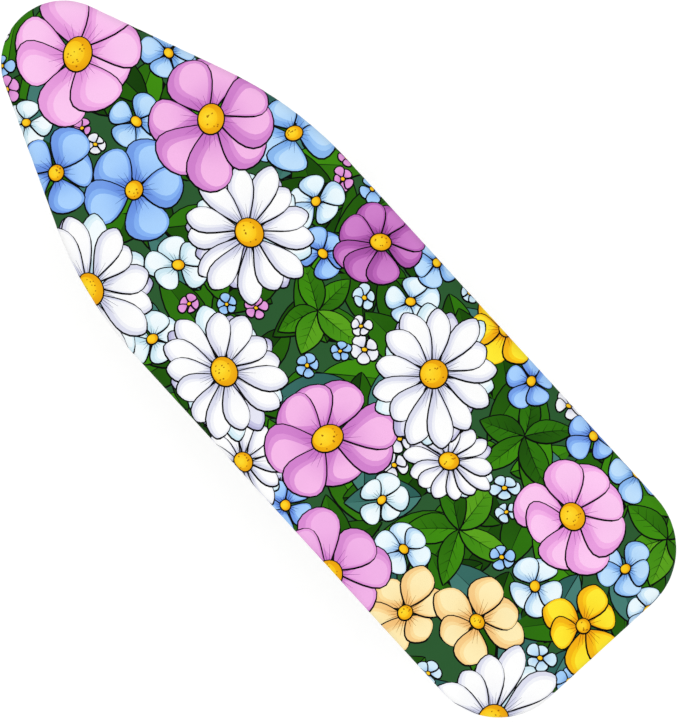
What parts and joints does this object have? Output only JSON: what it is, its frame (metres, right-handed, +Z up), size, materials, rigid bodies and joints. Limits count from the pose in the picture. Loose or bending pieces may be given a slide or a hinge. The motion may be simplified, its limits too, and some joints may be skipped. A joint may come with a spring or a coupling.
{
  "type": "ironing board",
  "caption": "Free-standing folding ironing board: padded tapered top with a printed cloth cover on a steel panel, crossed tube legs, a slide rail with notches and a release lever.",
  "frame": {"origin": "centre of the bounding box at floor level, legs open", "axes": "+X along the board from the rounded nose to the square tail, +Y across the board, +Z up"},
  "size_m": [1.2, 0.404, 0.9],
  "materials": {
    "cover_cloth": "printed cotton, large flowers and leaves",
    "felt": "needled felt",
    "elastic": "braided elastic",
    "top_steel": "satin powder coat",
    "leg_paint": "satin powder coat",
    "zinc_steel": "bright zinc plate",
    "spring_wire": "drawn spring wire",
    "foot_plastic": "moulded, fine texture",
    "bearing_plastic": "moulded nylon",
    "grip_plastic": "soft moulded grip"
  },
  "bodies": {
    "board": {"cover": "cover_cloth", "pad": "felt", "hem_elastic": "elastic", "top_panel": "top_steel", "edge_rim": "top_steel", "rib_nose": "top_steel", "rib_middle": "top_steel", "rib_tail": "top_steel", "guide_rail": "top_steel", "hinge_bracket_left": "zinc_steel", "hinge_bracket_right": "zinc_steel", "hinge_pins": "zinc_steel", "frame_rivets": "zinc_steel", "lever_pin": "zinc_steel", "lever_spring": "spring_wire"},
    "front_leg": {"front_leg_left": "leg_paint", "front_leg_right": "leg_paint", "front_leg_brace": "leg_paint", "front_foot_bar": "leg_paint", "front_foot_left": "foot_plastic", "front_foot_right": "foot_plastic", "front_leg_plugs": "foot_plastic", "cross_pins": "zinc_steel", "cross_spacers": "bearing_plastic"},
    "rear_leg": {"rear_leg_left": "leg_paint", "rear_leg_right": "leg_paint", "rear_leg_brace": "leg_paint", "rear_foot_bar": "leg_paint", "rear_foot_left": "foot_plastic", "rear_foot_right": "foot_plastic", "rear_leg_plugs": "foot_plastic", "slide_bar": "zinc_steel", "slide_rollers": "bearing_plastic"},
    "release_lever": {"release_lever": "zinc_steel", "lever_grip": "grip_plastic"}
  },
  "joints": [
    {"name": "fold", "type": "hinge", "parent": "board", "child": "front_leg", "pos_m": [0.33, 0, 0.8578], "axis": [0, 1, 0], "range_deg": [0, 62.85]},
    {"name": "cross", "type": "hinge", "parent": "front_leg", "child": "rear_leg", "pos_m": [0.14289, 0, 0.49299], "axis": [0, 1, 0], "range_deg": [-125.72, 0]},
    {"name": "release", "type": "hinge", "parent": "board", "child": "release_lever", "pos_m": [0.045, 0, 0.8428], "axis": [0, -1, 0], "range_deg": [0, 8], "stiffness_Nm_per_rad": 2, "springref_deg": -11.46, "deforming": ["lever_spring"]}
  ],
  "couplings": [
    {"joint": "cross", "follows": "fold", "ratio": -2}
  ]
}
